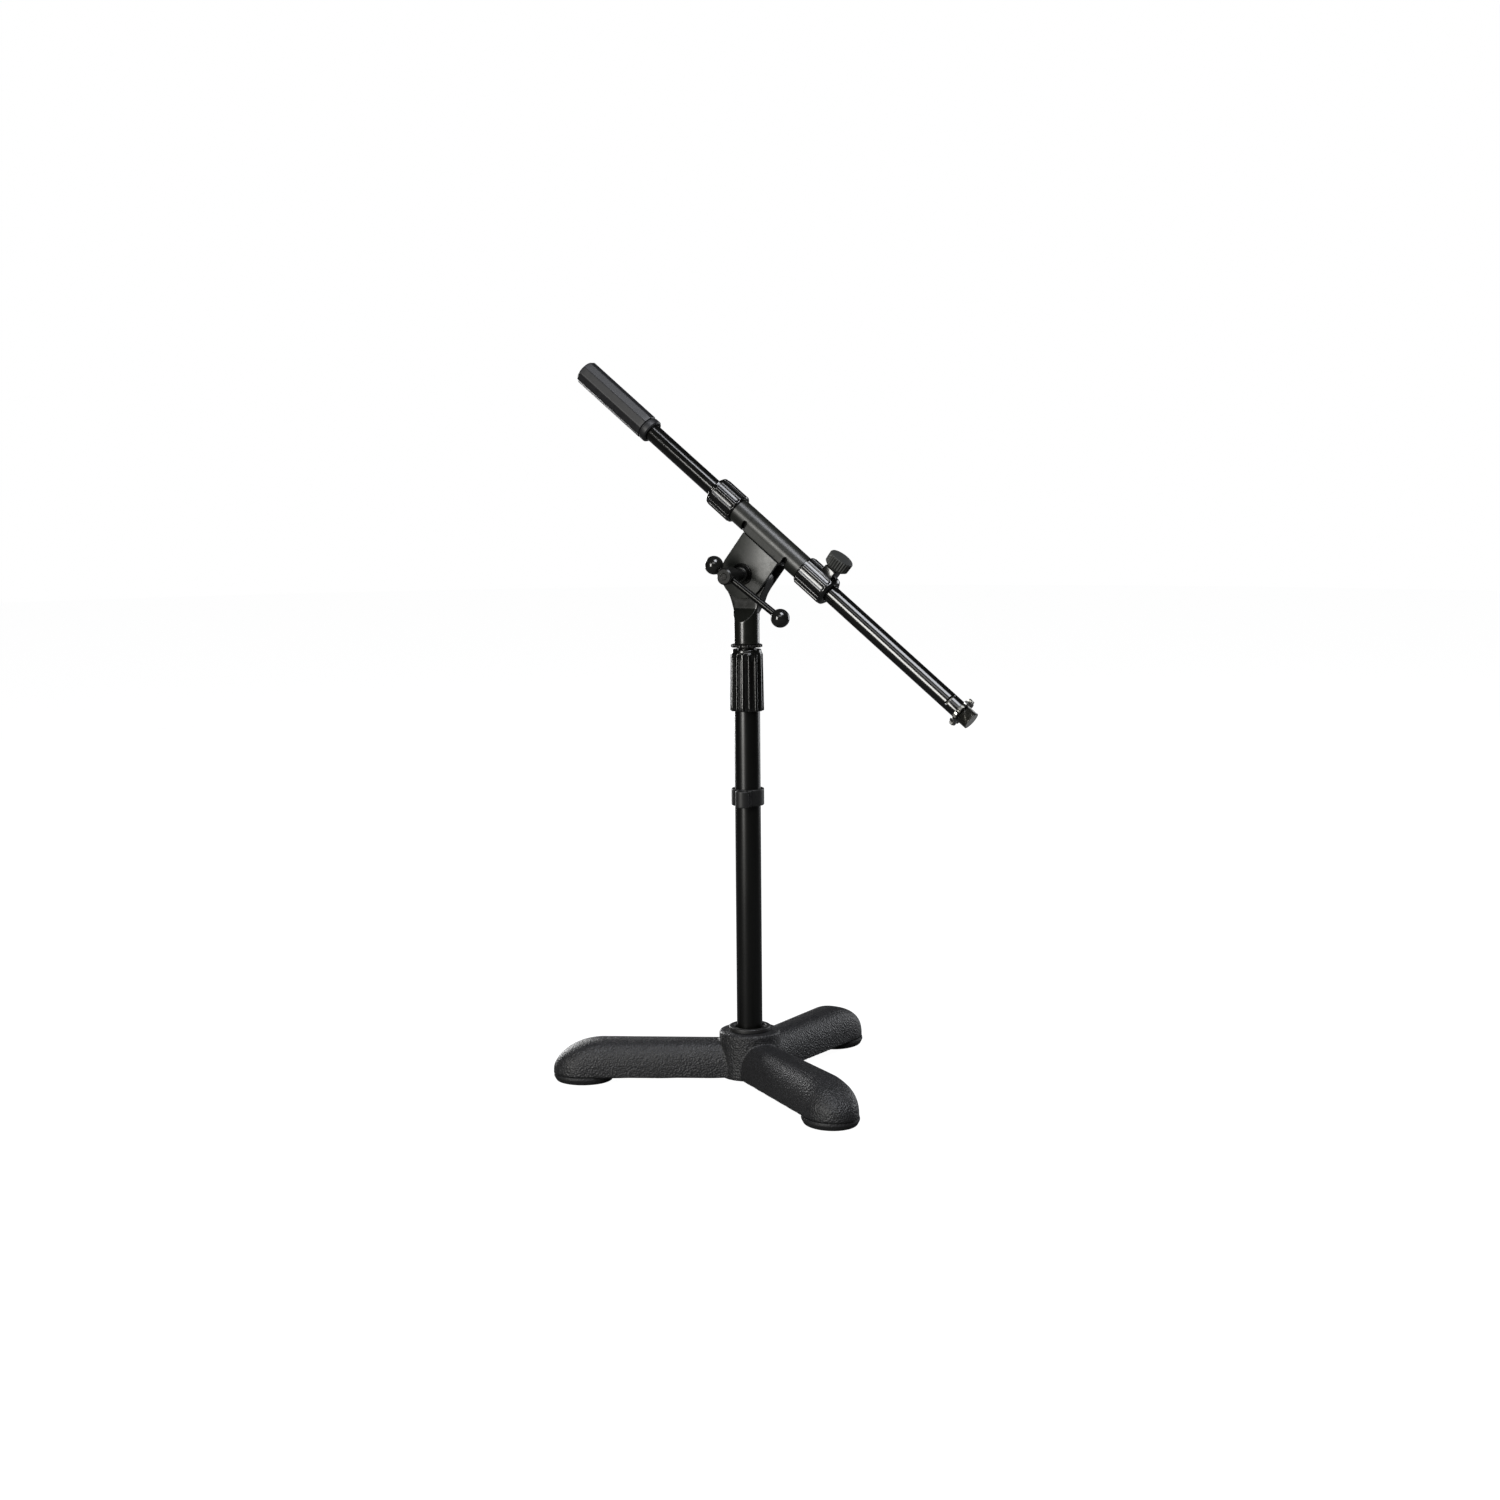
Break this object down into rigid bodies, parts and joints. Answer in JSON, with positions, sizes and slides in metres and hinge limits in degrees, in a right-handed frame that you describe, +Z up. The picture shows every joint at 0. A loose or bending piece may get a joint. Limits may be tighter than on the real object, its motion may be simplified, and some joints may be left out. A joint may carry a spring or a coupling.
{
  "type": "boom microphone stand",
  "caption": "Short boom microphone stand: cast tripod base, telescopic column, tilting and sliding boom with threaded microphone end.",
  "frame": {"origin": "middle of the bounding box's underside, on the floor under the rubber pads; the column axis stands 11.8 mm towards -X and 0.0 mm towards +Y from it", "axes": "+Z up along the column; one leg of the base points along -X; the boom, as it rests, points its microphone end down towards +X and slightly -Y"},
  "size_m": [0.3694, 0.3074, 0.6292],
  "materials": {
    "cast_powder": "coarse-grained black powder coat",
    "pad_rubber": "matt moulded rubber",
    "tube_paint": "satin black paint on steel tube",
    "bracket_paint": "satin black paint on steel",
    "gloss_plastic": "glossy black moulded plastic",
    "matte_plastic": "matt black moulded plastic",
    "grip_plastic": "satin black moulded plastic",
    "nylon": "dark nylon, unpolished",
    "dark_steel": "blackened steel, edges rubbed bright",
    "stud_steel": "dark threaded flank with a bare end face"
  },
  "bodies": {
    "base": {"base_casting": "cast_powder", "foot_pad_1": "pad_rubber", "foot_pad_2": "pad_rubber", "foot_pad_3": "pad_rubber", "base_bolt": "dark_steel", "base_washer": "dark_steel", "tube_plug": "dark_steel", "base_ring": "matte_plastic", "column_tube": "tube_paint", "clutch_core": "nylon", "clutch_collet": "nylon"},
    "clip": {"cable_clip": "matte_plastic"},
    "clutch": {"clutch_grip": "gloss_plastic"},
    "riser": {"riser_tube": "tube_paint", "riser_bushing": "nylon", "riser_stud": "dark_steel"},
    "column_lock_ring": {"column_lock_ring": "dark_steel"},
    "swivel": {"swivel_socket": "bracket_paint", "friction_disc_front": "nylon", "friction_disc_rear": "nylon"},
    "bracket": {"boom_bracket": "bracket_paint", "boom_sleeve": "bracket_paint", "pivot_washer": "dark_steel", "rear_pivot_washer": "dark_steel", "pivot_nut": "dark_steel", "rear_collet": "nylon", "front_collar": "gloss_plastic", "front_liner": "nylon"},
    "clamp_screw": {"clamp_screw": "dark_steel"},
    "tommy_bar": {"tommy_bar": "dark_steel", "bar_ball_rear": "gloss_plastic", "bar_ball_front": "gloss_plastic"},
    "rear_collar": {"rear_collar": "gloss_plastic"},
    "thumb_screw": {"thumb_knob": "matte_plastic", "thumb_screw": "dark_steel"},
    "boom_rod": {"boom_tube": "tube_paint", "mic_stud": "stud_steel", "counterweight": "dark_steel", "grip_sleeve": "grip_plastic", "grip_ring": "grip_plastic"},
    "mic_lock_ring": {"mic_lock_ring": "dark_steel"}
  },
  "joints": [
    {"name": "clip_slide", "type": "slide", "parent": "base", "child": "clip", "axis": [0, 0, 1], "range_m": [-0.185, 0.06]},
    {"name": "clutch_twist", "type": "hinge", "parent": "base", "child": "clutch", "pos_m": [-0.01178, 0, 0], "axis": [0, 0, 1], "range_deg": [0, 90]},
    {"name": "riser_slide", "type": "slide", "parent": "base", "child": "riser", "axis": [0, 0, 1], "range_m": [0, 0.22]},
    {"name": "column_lock_ring_spin", "type": "hinge", "parent": "riser", "child": "column_lock_ring", "pos_m": [-0.01178, 0, 0], "axis": [0, 0, 1], "continuous": true},
    {"name": "boom_yaw", "type": "hinge", "parent": "riser", "child": "swivel", "pos_m": [-0.01178, 0, 0], "axis": [0, 0, 1], "continuous": true},
    {"name": "boom_tilt", "type": "hinge", "parent": "swivel", "child": "bracket", "pos_m": [-0.01007, 0.0035, 0.4478], "axis": [-0.4399, -0.898, 0], "range_deg": [-52, 128]},
    {"name": "clamp_screw_turn", "type": "hinge", "parent": "bracket", "child": "clamp_screw", "pos_m": [-0.01007, 0.0035, 0.4478], "axis": [-0.4399, -0.898, 0], "range_deg": [0, 270]},
    {"name": "tommy_bar_slide", "type": "slide", "parent": "clamp_screw", "child": "tommy_bar", "axis": [-0.7445, 0.3647, 0.5592], "range_m": [0, 0.045]},
    {"name": "rear_collar_twist", "type": "hinge", "parent": "bracket", "child": "rear_collar", "pos_m": [0.0104, -0.00652, 0.47708], "axis": [0.7086, -0.3471, -0.6143], "range_deg": [0, 90]},
    {"name": "thumb_screw_turn", "type": "hinge", "parent": "bracket", "child": "thumb_screw", "pos_m": [0.05426, -0.02801, 0.43905], "axis": [0.5516, -0.2702, 0.7891], "range_deg": [0, 270]},
    {"name": "boom_rod_slide", "type": "slide", "parent": "bracket", "child": "boom_rod", "axis": [0.7086, -0.3471, -0.6143], "range_m": [-0.145, 0.075]},
    {"name": "mic_lock_ring_spin", "type": "hinge", "parent": "boom_rod", "child": "mic_lock_ring", "pos_m": [0.0104, -0.00652, 0.47708], "axis": [0.7086, -0.3471, -0.6143], "continuous": true}
  ]
}
